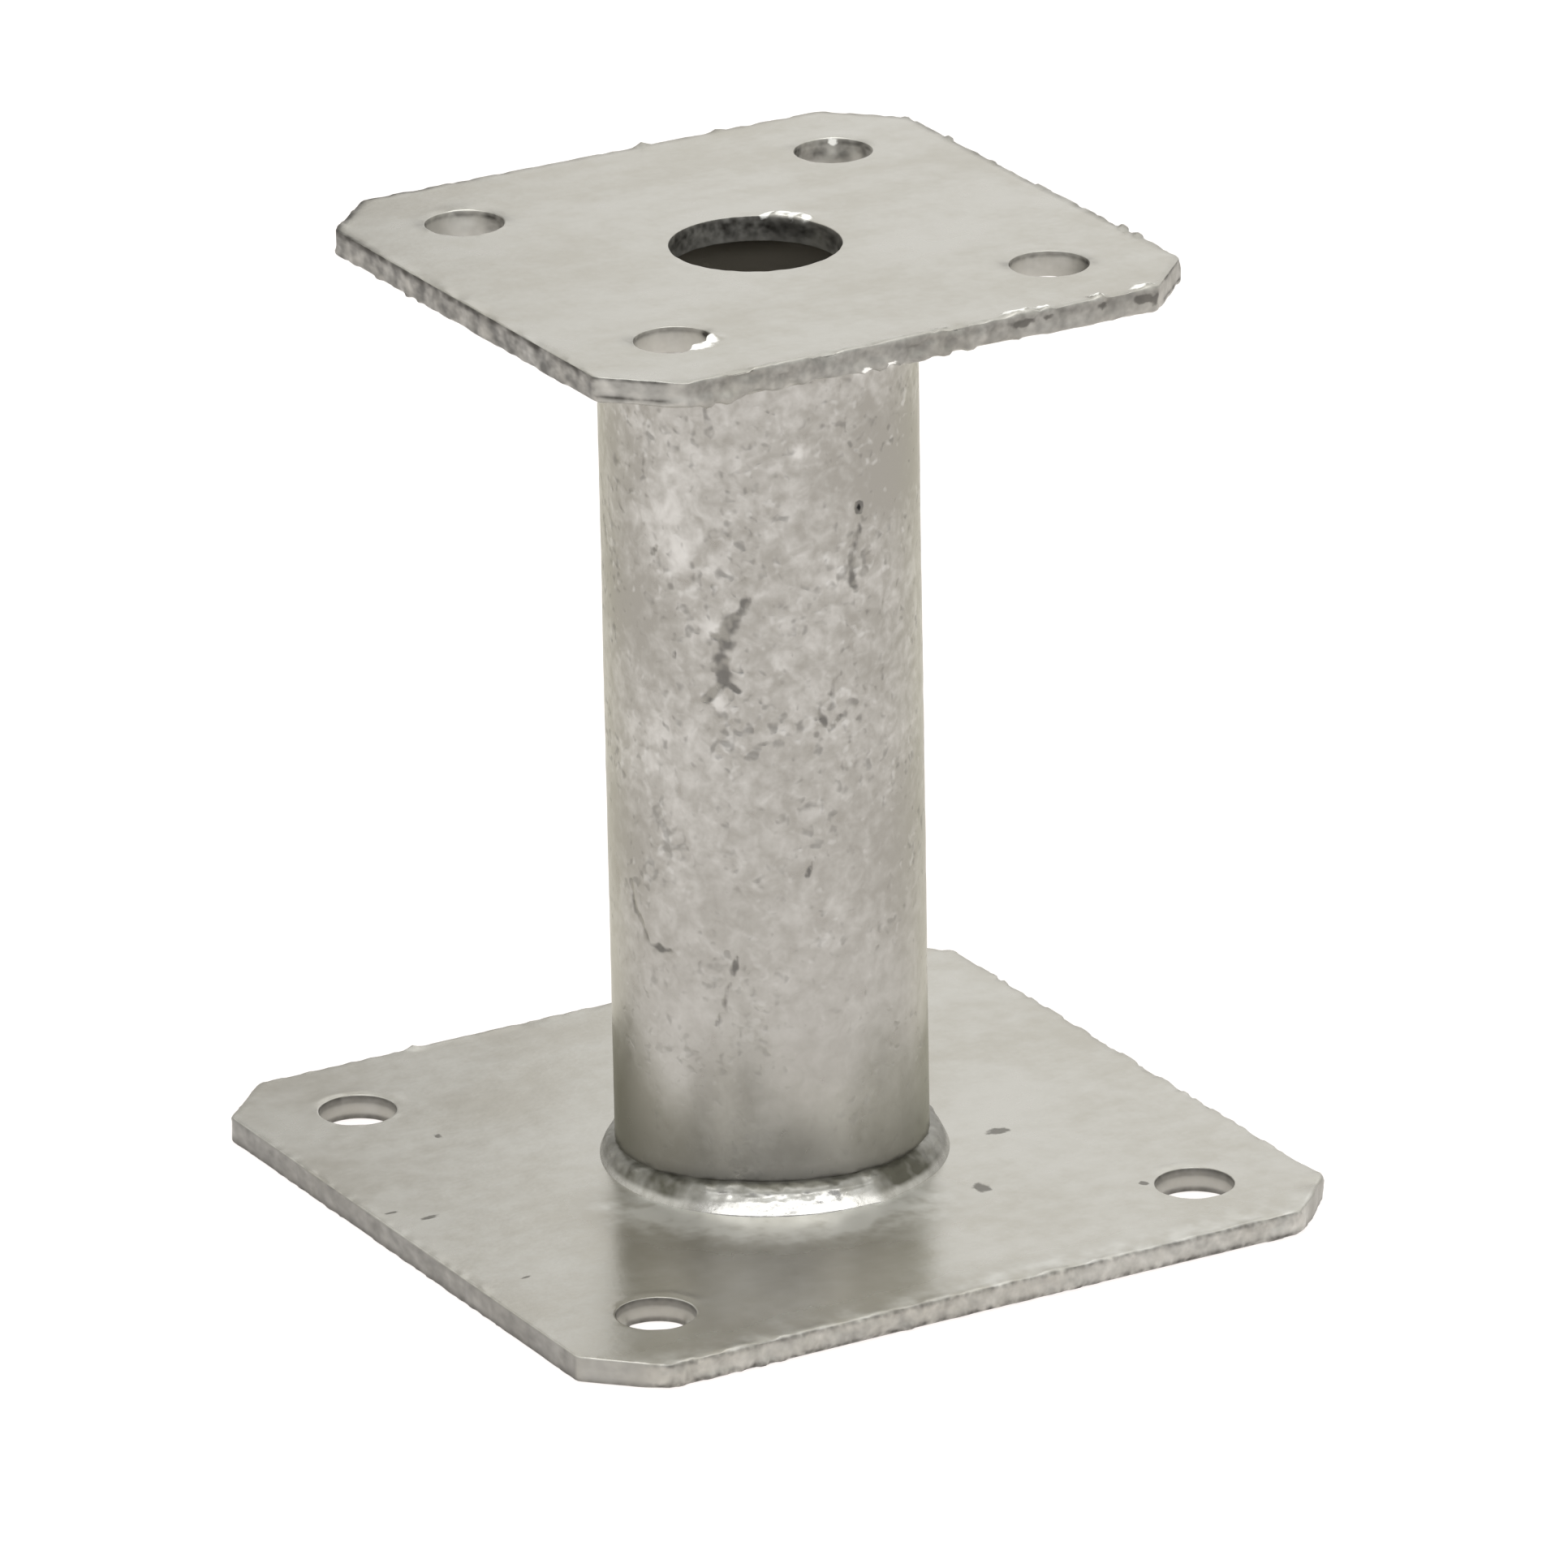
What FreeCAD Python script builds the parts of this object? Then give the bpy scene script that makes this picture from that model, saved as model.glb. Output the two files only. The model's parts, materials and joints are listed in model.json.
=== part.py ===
import FreeCAD, Part
import math
import os

# Column base plate: two flat plates welded square to the ends of a short round tube.
# Millimetres. The origin is the centre of the underside and +Z runs up the tube.

# Driving dimensions
overall_height = 150.0

base_side = 130.0
base_thickness = 4.0
base_corner_cut = 10.0
base_hole_diameter = 12.0
base_hole_edge_distance = 18.0
base_centre_hole_diameter = 26.0

top_side = 100.0
top_thickness = 4.0
top_corner_cut = 10.0
top_hole_diameter = 12.0
top_hole_edge_distance = 18.0
top_centre_hole_diameter = 26.0

tube_diameter = 48.3
tube_wall = 3.2

# Rounding of the outline's corners, and the break all round its upper and lower edges
corner_rounding = 1.0
edge_break = 0.3

# Fillet weld: its reach over the plate and up the tube, and how far it bulges past a flat fillet
weld_leg_on_plate = 3.4
weld_leg_on_tube = 4.1
weld_crown = 0.9
# Each ripple of the bead tapers by the rise, so that its thick end laps over the next one's thin end
weld_ripple_pitch = 3.8
weld_ripple_rise = 0.28
# The bead was laid a little off the tube's axis, and swells where its end laps over its start
weld_drift = 1.3
weld_lap_growth = 0.4
base_weld_drift_angle = 230.0
base_weld_lap_angle = 276.0
top_weld_drift_angle = 95.0
top_weld_lap_angle = 46.0

# Sizes and places that follow from the driving dimensions
tube_radius = tube_diameter / 2
base_top_z = base_thickness
top_under_z = overall_height - top_thickness
tube_length = top_under_z - base_top_z
origin = FreeCAD.Vector(0, 0, 0)
up = FreeCAD.Vector(0, 0, 1)
down = FreeCAD.Vector(0, 0, -1)


def cut_corner_outline(side, corner_cut):
    """Closed wire: a square on the axis with its four corners cut off at 45 degrees."""
    half = side / 2
    flat = half - corner_cut
    points = []
    for turn in range(4):
        angle = math.radians(90 * turn)
        for x, y in ((half, -flat), (half, flat)):
            turned_x = x * math.cos(angle) - y * math.sin(angle)
            turned_y = x * math.sin(angle) + y * math.cos(angle)
            points.append(FreeCAD.Vector(turned_x, turned_y, 0))
    return Part.makePolygon(points + points[:1])


def upright_edges(plate):
    """The plate's edges that run along Z, where two sides of its outline meet."""
    return [edge for edge in plate.Edges if edge.BoundBox.ZLength > edge.Length / 2]


def rim_edges(plate):
    """The edges round the plate's upper and lower faces."""
    return [edge for edge in plate.Edges if edge.BoundBox.ZLength < edge.Length / 2]


def drill(plate, diameter, thickness, x, y):
    """The plate with a round hole through it at x, y."""
    return plate.cut(Part.makeCylinder(diameter / 2, thickness, FreeCAD.Vector(x, y, 0)))


def drilled_plate(side, thickness, corner_cut, hole_diameter, edge_distance, centre_hole_diameter):
    """Flat plate with cut corners and broken edges, a bolt hole at each corner and a centre hole."""
    plate = Part.Face(cut_corner_outline(side, corner_cut)).extrude(up * thickness)
    plate = plate.makeFillet(corner_rounding, upright_edges(plate))
    plate = plate.makeChamfer(min(edge_break, thickness / 4), rim_edges(plate))
    hole_reach = side / 2 - edge_distance
    for x in (-hole_reach, hole_reach):
        for y in (-hole_reach, hole_reach):
            plate = drill(plate, hole_diameter, thickness, x, y)
    return drill(plate, centre_hole_diameter, thickness, 0, 0)


def base_plate():
    """Larger plate, bolted down to the concrete."""
    return drilled_plate(
        base_side, base_thickness, base_corner_cut,
        base_hole_diameter, base_hole_edge_distance, base_centre_hole_diameter,
    )


def top_plate():
    """Smaller plate, bolted to the foot of the column."""
    plate = drilled_plate(
        top_side, top_thickness, top_corner_cut,
        top_hole_diameter, top_hole_edge_distance, top_centre_hole_diameter,
    )
    plate.translate(FreeCAD.Vector(0, 0, top_under_z))
    return plate


def column_tube():
    """Round tube that stands square between the two plates."""
    foot = FreeCAD.Vector(0, 0, base_top_z)
    outside = Part.makeCylinder(tube_radius, tube_length, foot)
    inside = Part.makeCylinder(tube_radius - tube_wall, tube_length, foot)
    return outside.cut(inside)


def bead_section():
    """Round section through both weld toes: radius, and its centre from the tube and the plate."""
    toe_chord = math.hypot(weld_leg_on_plate, weld_leg_on_tube)
    radius = (toe_chord ** 2 / 4 + weld_crown ** 2) / (2 * weld_crown)
    set_back = (radius - weld_crown) / toe_chord
    out = weld_leg_on_plate / 2 - set_back * weld_leg_on_tube
    rise = weld_leg_on_tube / 2 - set_back * weld_leg_on_plate
    return radius, out, rise


def ripple_slice(radius, reach, rise, step):
    """One ripple on the +X side: a short cone along the weld, cut to its step of the ring.

    The cone's seam faces the tube, where the bead is cut away.
    """
    room = reach + 2 * radius
    length = 3 * room * math.tan(math.radians(step / 2))
    taper = weld_ripple_rise / weld_ripple_pitch * length / 2
    cone = Part.makeCone(radius + taper, radius - taper, length)
    cone.rotate(origin, up, 180)
    cone.rotate(origin, FreeCAD.Vector(1, 0, 0), -90)
    cone.translate(FreeCAD.Vector(reach, -length / 2, rise))
    slice_of_ring = Part.makeCylinder(room, 4 * radius, FreeCAD.Vector(0, 0, -2 * radius), up, step)
    slice_of_ring.rotate(origin, up, -step / 2)
    return cone.common(slice_of_ring)


def lap_swelling(radius, reach, rise):
    """Ball on the +X side where the bead closes, turned so that its poles and seam are covered."""
    ball = Part.makeSphere(radius + weld_lap_growth)
    ball.rotate(origin, FreeCAD.Vector(0, 1, 0), 90)
    ball.translate(FreeCAD.Vector(reach, 0, rise))
    return ball


def weld_bead(drift_angle, lap_angle):
    """Rippled fillet weld round a tube that stands on the plane Z = 0.

    The ring of ripples is set off the axis by the drift, then cut back to the tube's wall and to
    the plate's face.
    """
    radius, out, rise = bead_section()
    reach = tube_radius + out
    ripples = max(12, round(2 * math.pi * reach / weld_ripple_pitch))
    step = 360.0 / ripples
    ripple = ripple_slice(radius, reach, rise, step)
    ring = []
    for index in range(ripples):
        copy = ripple.copy()
        copy.rotate(origin, up, index * step)
        ring.append(copy)
    lap = lap_swelling(radius, reach, rise)
    lap.rotate(origin, up, lap_angle)
    bead = ring[0].multiFuse(ring[1:] + [lap])
    drift = math.radians(drift_angle)
    bead.translate(FreeCAD.Vector(weld_drift * math.cos(drift), weld_drift * math.sin(drift), 0))
    room = reach + 3 * radius
    under_plate_face = Part.makeCylinder(room, 4 * radius, origin, down)
    tube_body = Part.makeCylinder(tube_radius, 8 * radius, FreeCAD.Vector(0, 0, -4 * radius))
    return bead.cut(under_plate_face).cut(tube_body).removeSplitter()


def base_weld():
    """Weld between the tube's foot and the upper face of the base plate."""
    bead = weld_bead(base_weld_drift_angle, base_weld_lap_angle)
    bead.translate(FreeCAD.Vector(0, 0, base_top_z))
    return bead


def top_weld():
    """Weld between the tube's head and the underside of the top plate."""
    bead = weld_bead(top_weld_drift_angle, top_weld_lap_angle)
    bead.rotate(origin, FreeCAD.Vector(1, 0, 0), 180)
    bead.translate(FreeCAD.Vector(0, 0, top_under_z))
    return bead


def main():
    os.makedirs("parts", exist_ok=True)
    pieces = {
        "base_plate": base_plate(),
        "column_tube": column_tube(),
        "top_plate": top_plate(),
        "base_weld": base_weld(),
        "top_weld": top_weld(),
    }
    for name, shape in pieces.items():
        solid = shape.Solids[0] if len(shape.Solids) == 1 else shape
        print(name, "solids", len(shape.Solids), "valid", shape.isValid(), "volume", round(shape.Volume, 1))
        solid.exportStep(os.path.join("parts", name + ".step"))


main()
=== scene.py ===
import itertools
import json
import math
from types import SimpleNamespace

import bpy
import numpy as np
from mathutils import Matrix, Vector


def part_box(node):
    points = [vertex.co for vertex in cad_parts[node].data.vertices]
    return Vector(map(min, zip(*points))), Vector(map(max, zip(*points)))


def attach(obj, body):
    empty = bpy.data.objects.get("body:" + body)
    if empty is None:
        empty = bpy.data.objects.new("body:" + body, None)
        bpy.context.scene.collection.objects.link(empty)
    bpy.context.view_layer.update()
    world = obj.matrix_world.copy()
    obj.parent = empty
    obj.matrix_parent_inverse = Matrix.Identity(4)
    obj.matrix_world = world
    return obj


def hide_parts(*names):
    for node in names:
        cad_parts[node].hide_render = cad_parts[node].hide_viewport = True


# A galvanised column base: two plates and a short tube, each given its real zinc skin.
# Shapes are worked out in millimetres and put into the meshes in metres. The near side of the
# object is the one that faces -Y, and the far side faces +X.

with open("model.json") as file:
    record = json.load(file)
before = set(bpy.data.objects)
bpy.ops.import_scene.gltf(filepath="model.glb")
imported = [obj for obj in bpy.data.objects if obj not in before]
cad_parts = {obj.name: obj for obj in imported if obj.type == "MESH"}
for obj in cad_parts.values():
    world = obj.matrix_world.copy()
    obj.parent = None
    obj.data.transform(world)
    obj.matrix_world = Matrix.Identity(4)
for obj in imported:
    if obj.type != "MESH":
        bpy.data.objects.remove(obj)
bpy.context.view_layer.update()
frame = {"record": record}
mounts = {mount["name"]: mount["dims"] for mount in frame["record"]["mounts"]}
metre = 1000.0  # in millimetres


def boxOf(node):
    # lowest and highest corner of a CAD node, in millimetres
    low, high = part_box(node)
    return np.array(low) * metre, np.array(high) * metre


# Numbers and surfaces, worked out as whole arrays

def smoothStep(values, low, high):
    # 0 below low, 1 above high, and between them the cubic 3t^2 - 2t^3
    part = np.clip((values - low) / (high - low), 0.0, 1.0)
    return part * part * (3.0 - 2.0 * part)


def bell(distance, width):
    # exp(-(distance / width)^2): 1 where the distance is 0, and almost 0 past two widths
    return np.exp(-(distance / width) ** 2)


def between(ends, share):
    # from the first of two values, at 0, to the second, at 1
    start, end = ends
    return start + share * (end - start)


def fromAxis(points):
    # distance of each point from the Z axis
    return np.hypot(points[:, 0], points[:, 1])


def softNoise(points, size, seed):
    # random numbers on a cubic lattice of the given size, blended by smooth steps: -1 to 1
    cells = 32
    lattice = np.random.default_rng(seed).uniform(-1.0, 1.0, (cells, cells, cells))
    place = points / size
    low = np.floor(place).astype(int)
    part = smoothStep(place - low, 0.0, 1.0)
    total = np.zeros(len(points))
    for corner in itertools.product((0, 1), repeat=3):
        weight = np.prod(np.where(corner, part, 1.0 - part), axis=1)
        total += weight * lattice[tuple(((low + corner) % cells).T)]
    return total


def ringPoints(radius, turn, height):
    # rows of points radius * (cos turn, sin turn) about the Z axis, each at its height
    return np.stack([radius * np.cos(turn), radius * np.sin(turn), height], axis=2).reshape(-1, 3)


def gridQuads(rows, columns, closeRows=False, closeColumns=False):
    # the four corners of each cell of a grid whose points are counted row by row
    first = np.arange(rows if closeRows else rows - 1)[:, None]
    second = np.arange(columns if closeColumns else columns - 1)[None, :]
    nextRow = (first + 1) % rows
    nextColumn = (second + 1) % columns
    corners = (first * columns + second, nextRow * columns + second,
               nextRow * columns + nextColumn, first * columns + nextColumn)
    return np.stack([corner.ravel() for corner in corners], axis=1)


def joinPatches(patches):
    # one surface from several grids: points in no cell go, and points that lie together become one
    starts = np.cumsum([0] + [len(points) for points, _ in patches[:-1]])
    points = np.concatenate([points for points, _ in patches])
    quads = np.concatenate([quads + start for (_, quads), start in zip(patches, starts)])
    used, quads = np.unique(quads, return_inverse=True)
    points = points[used]
    rounded = np.round(points, 4)
    _, first, number = np.unique(rounded, axis=0, return_index=True, return_inverse=True)
    return points[first], number.ravel()[quads.reshape(-1, 4)]


def pointNormals(points, quads):
    # the sum of the normals of the cells round each point, brought to length 1
    across = points[quads[:, 2]] - points[quads[:, 0]]
    along = points[quads[:, 3]] - points[quads[:, 1]]
    cellNormals = np.cross(across, along)
    normals = np.zeros_like(points)
    for corner in range(4):
        np.add.at(normals, quads[:, corner], cellNormals)
    return normals / np.linalg.norm(normals, axis=1, keepdims=True)


def addDrops(points, drops):
    # the sum of rounded (x, y, z, radius, height) bumps: height * exp(-(distance / radius)^2)
    rise = np.zeros(len(points))
    for x, y, z, radius, height in drops:
        distance = np.linalg.norm(points - (x, y, z), axis=1)
        rise += height * bell(distance, radius)
    return rise


def patchMark(points, patches):
    # 1 in the middle of each (x, y, z, length along X, width) patch, exp(-distance^2) away from it
    mark = np.zeros(len(points))
    for x, y, z, length, width in patches:
        away = (points - (x, y, z)) / (length, width, width)
        mark = np.maximum(mark, np.exp(-(away ** 2).sum(axis=1)))
    return mark


def addPiece(name, node, material, points, quads, marks):
    # puts a surface into a mesh, with its marks as point attributes, hangs it under the root body and
    # hides the CAD node
    mesh = bpy.data.meshes.new(name)
    mesh.from_pydata((points / metre).tolist(), [], quads.tolist())
    mesh.polygons.foreach_set("use_smooth", np.ones(len(quads), bool))
    for mark, values in marks.items():
        attribute = mesh.attributes.new(mark, "FLOAT", "POINT")
        attribute.data.foreach_set("value", values.astype(np.float32))
    mesh.materials.append(material)
    mesh.update()
    piece = bpy.data.objects.new(name, mesh)
    bpy.context.scene.collection.objects.link(piece)
    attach(piece, "root")
    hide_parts(node)
    print(name, len(points), "points", len(quads) * 2, "triangles")


# Shader maths

class Signal:
    # one output of a shader tree, so that shader maths reads as arithmetic
    def __init__(self, tree, socket):
        self.tree = tree
        self.socket = socket

    def make(self, kind, settings, sockets, output=0):
        # adds a node: its settings first, then the value or the link of each socket
        node = self.tree.nodes.new(kind)
        for name, value in settings.items():
            setattr(node, name, value)
        for name, value in sockets.items():
            if isinstance(value, Signal):
                self.tree.links.new(value.socket, node.inputs[name])
            else:
                node.inputs[name].default_value = value
        return Signal(self.tree, node.outputs[output])

    def maths(self, operation, first, second):
        # one number from two
        return self.make("ShaderNodeMath", {"operation": operation}, {0: first, 1: second})

    def __add__(self, other):
        return self.maths("ADD", self, other)

    def __radd__(self, other):
        return self.maths("ADD", other, self)

    def __sub__(self, other):
        return self.maths("SUBTRACT", self, other)

    def __rsub__(self, other):
        return self.maths("SUBTRACT", other, self)

    def __mul__(self, other):
        return self.maths("MULTIPLY", self, other)

    def __rmul__(self, other):
        return self.maths("MULTIPLY", other, self)

    def stretch(self, factors):
        # a vector times a vector, part by part
        return self.make("ShaderNodeVectorMath", {"operation": "MULTIPLY"}, {0: self, 1: factors})

    def noise(self, size, detail=2.0, swirl=0.0):
        # cloudy noise from 0 to 1 whose largest patches are as wide as size
        return self.make("ShaderNodeTexNoise", {},
                         {"Vector": self, "Scale": 1.0 / size, "Detail": detail, "Distortion": swirl})

    def swing(self, amount):
        # noise from 0 to 1 turned into a number that goes half the amount to either side of 0
        return amount * (self - 0.5)

    def step(self, low, high):
        # 0 below low, 1 above high, smooth between them
        return self.make("ShaderNodeMapRange", {"interpolation_type": "SMOOTHSTEP"},
                         {"Value": self, "From Min": low, "From Max": high})

    def blend(self, start, end):
        # colour from start, at 0, to end, at 1: the Mix node's colours are sockets 6 and 7, output 2
        return self.make("ShaderNodeMix", {"data_type": "RGBA"}, {0: self, 6: start, 7: end}, 2)

    def part(self, name):
        # X, Y or Z of a vector
        return self.make("ShaderNodeSeparateXYZ", {}, {0: self}, name)

    def mark(self, name):
        # a number that the piece carries at each point
        return self.make("ShaderNodeAttribute", {"attribute_name": name}, {}, "Fac")


def tinted(level, red=1.0, blue=1.0):
    # linear colour: a grey with its red and its blue scaled
    return (level * red, level, level * blue, 1.0)


def newMaterial(name, fixed):
    # a material and its shader; fixed = what is the same all over, set on the shader's own sockets
    material = bpy.data.materials.new(name)
    material.use_nodes = True
    shader = material.node_tree.nodes["Principled BSDF"]
    for socket, value in fixed.items():
        shader.inputs[socket].default_value = value
    return material, shader


def placeOn(material):
    # the material's object coordinates, in millimetres
    tree = material.node_tree
    place = tree.nodes.new("ShaderNodeTexCoord").outputs["Object"]
    return Signal(tree, place).stretch((metre, metre, metre))


def feed(shader, colour, roughness, height, depth):
    # links what changes over the surface; height is from 0 to 1 and depth is in millimetres
    normal = height.make("ShaderNodeBump", {}, {"Height": height, "Distance": depth / metre})
    for socket, signal in (("Base Color", colour), ("Roughness", roughness), ("Normal", normal)):
        height.tree.links.new(signal.socket, shader.inputs[socket])


# Camera, floor and light

view = {
    "place": (-0.91768, -1.62522, 0.77803),
    "azimuth": -29.537,
    "elevation": 20.951,
    "roll": -1.068,
    "lens": 302.32,  # millimetres
    "sensor": 36.0,
}

studio = {
    "floorReach": 6.0,
    "floorLevel": -0.0001,  # just under the plate, so that the two faces don't lie in one plane
    "floorGlow": tinted(0.86, 1.05, 0.98),
    "floorPaint": tinted(0.22),
    "behind": tinted(0.58, 1.02, 0.95),  # what the plates mirror
    "behindEnds": (-0.85, -0.1),  # cosine of the angle from the camera's side
    "sides": tinted(1.12, 1.01, 0.95),
    "nearCamera": tinted(0.42, 1.0, 1.03),  # what the tube's foot mirrors
    "nearCameraBegins": (0.2, 0.9),  # cosine too
    "overhead": tinted(1.0, 1.0, 0.97),
    "overheadBegins": (0.45, 0.75),  # sine of the elevation
    "aim": (0.0, 0.0, 0.05),  # the softboxes face this place
}

softboxes = {
    "frontSoftbox": {"azimuth": -22.0, "elevation": 32.0, "distance": 1.1,
                     "width": 2.3, "height": 0.28, "radiance": 1.7},
    "topSoftbox": {"azimuth": -29.6, "elevation": 80.0, "distance": 1.0,
                   "width": 0.8, "height": 0.62, "radiance": 1.75},
    "backSoftbox": {"azimuth": 125.0, "elevation": 24.0, "distance": 0.75,
                    "width": 0.8, "height": 0.45, "radiance": 0.33},
}


def outwards(azimuth, elevation):
    # unit vector from the object to where it is seen from at this azimuth and elevation
    azimuth = math.radians(azimuth)
    elevation = math.radians(elevation)
    return Vector((math.sin(azimuth) * math.cos(elevation), -math.cos(azimuth) * math.cos(elevation),
                   math.sin(elevation)))


def placeCamera():
    # camera axes from azimuth and elevation, then turned by the roll in their own plane
    azimuth = math.radians(view["azimuth"])
    roll = math.radians(view["roll"])
    right = Vector((math.cos(azimuth), math.sin(azimuth), 0.0))
    back = outwards(view["azimuth"], view["elevation"])
    up = back.cross(right)
    turnedRight = math.cos(roll) * right + math.sin(roll) * up
    turnedUp = math.cos(roll) * up - math.sin(roll) * right
    lens = bpy.data.cameras.new("camera")
    lens.lens = view["lens"]
    lens.sensor_width = view["sensor"]
    camera = bpy.data.objects.new("camera", lens)
    turn = Matrix((turnedRight, turnedUp, back)).transposed().to_4x4()
    camera.matrix_world = Matrix.Translation(view["place"]) @ turn
    bpy.context.scene.collection.objects.link(camera)
    bpy.context.scene.camera = camera
    return Vector((back.x, back.y, 0.0)).normalized()


def addFloor():
    # a large pale square that mostly glows by itself, so that the shadows on it stay faint
    reach = studio["floorReach"]
    corners = [(-reach, -reach), (reach, -reach), (reach, reach), (-reach, reach)]
    mesh = bpy.data.meshes.new("floor")
    mesh.from_pydata([(x, y, studio["floorLevel"]) for x, y in corners], [], [(0, 1, 2, 3)])
    floor = bpy.data.objects.new("floor", mesh)
    bpy.context.scene.collection.objects.link(floor)
    paint, _ = newMaterial("floorPaint", {
        "Base Color": studio["floorPaint"],
        "Roughness": 1.0,
        "Specular IOR Level": 0.0,
        "Emission Color": studio["floorGlow"],
        "Emission Strength": 1.0,
    })
    mesh.materials.append(paint)


def lightSky(towardsCamera):
    # an even sky that is darker behind the object and on the camera's side
    world = bpy.data.worlds.new("studio")
    world.use_nodes = True
    bpy.context.scene.world = world
    tree = world.node_tree
    sky = Signal(tree, tree.nodes.new("ShaderNodeTexCoord").outputs["Generated"])
    facing = sky.make("ShaderNodeVectorMath", {"operation": "DOT_PRODUCT"},
                      {0: sky, 1: tuple(towardsCamera)}, "Value")
    backHalf = facing.step(*studio["behindEnds"]).blend(studio["behind"], studio["sides"])
    ring = facing.step(*studio["nearCameraBegins"]).blend(backHalf, studio["nearCamera"])
    whole = sky.part("Z").step(*studio["overheadBegins"]).blend(ring, studio["overhead"])
    tree.links.new(whole.socket, tree.nodes["Background"].inputs["Color"])
    bpy.context.scene.view_settings.view_transform = "Standard"


def addSoftbox(name, box):
    # a soft panel that faces the aim; its power is radiance * pi * area
    away = outwards(box["azimuth"], box["elevation"])
    panel = bpy.data.lights.new(name, "AREA")
    panel.shape = "RECTANGLE"
    panel.size = box["width"]
    panel.size_y = box["height"]
    panel.energy = box["radiance"] * math.pi * box["width"] * box["height"]
    lamp = bpy.data.objects.new(name, panel)
    place = Matrix.Translation(Vector(studio["aim"]) + away * box["distance"])
    lamp.matrix_world = place @ away.to_track_quat("Z", "Y").to_matrix().to_4x4()
    lamp.visible_camera = False
    bpy.context.scene.collection.objects.link(lamp)


towardsCamera = placeCamera()
addFloor()
lightSky(towardsCamera)
for boxName, box in softboxes.items():
    addSoftbox(boxName, box)
print("camera, floor and light")


# Plates: the bare surface

def outlineReach(angle, half, cut):
    # distance from the axis to the outline: 1 over the smooth largest of cos(angle - n) / d over the
    # eight sides, each with its normal's angle n and its distance d
    normals = np.arange(8) * math.pi / 4.0
    distances = np.where(np.arange(8) % 2 == 0, half, (2.0 * half - cut) / math.sqrt(2.0))
    pull = np.maximum(np.cos(angle[:, None] - normals), 0.0) / distances
    most = pull.max(axis=1, keepdims=True)
    sharpness = 350.0
    return 1.0 / (most[:, 0] * ((pull / most) ** sharpness).sum(axis=1) ** (1.0 / sharpness))


def squareLoop(xs, ys):
    # points round the border of a patch of the grid, anticlockwise
    sides = (np.stack([xs[:-1], np.full(len(xs) - 1, ys[0])], axis=1),
             np.stack([np.full(len(ys) - 1, xs[-1]), ys[:-1]], axis=1),
             np.stack([xs[:0:-1], np.full(len(xs) - 1, ys[-1])], axis=1),
             np.stack([np.full(len(ys) - 1, xs[0]), ys[:0:-1]], axis=1))
    return np.concatenate(sides)


def edgePatch(border, edge, inward, faces, upper, lower, flatRows):
    # from the border of the flat face to the edge, over an upper rounding, down the wall and back
    # under a lower rounding; upper and lower are the two radii at each point of the edge
    low, high = faces
    turn = np.linspace(0.0, math.pi / 2.0, 6)[1:, None]
    across = 1.0 - (1.0 - np.linspace(0.0, 1.0, flatRows)[:, None]) ** 1.7  # rows crowd at the edge
    down = np.linspace(0.0, 1.0, 9)[1:-1, None]
    flat = (flatRows, len(border))
    inset = [np.broadcast_to(upper, flat), upper * (1.0 - np.sin(turn)),
             np.zeros((len(down), len(border))), lower * (1.0 - np.sin(turn[::-1])),
             np.broadcast_to(lower, flat)]
    height = [np.full(flat, high), high - upper * (1.0 - np.cos(turn)),
              (high - upper) * (1.0 - down) + (low + lower) * down,
              low + lower * (1.0 - np.cos(turn[::-1])), np.full(flat, low)]
    share = [across, np.ones_like(turn), np.ones_like(down), np.ones_like(turn), across[::-1]]
    inset, height, share = (np.concatenate(rows)[:, :, None] for rows in (inset, height, share))
    spread = border + share * (edge + inset * inward - border)
    points = np.concatenate([spread, height], axis=2)
    return points.reshape(-1, 3), gridQuads(len(points), len(border), closeColumns=True)


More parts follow.
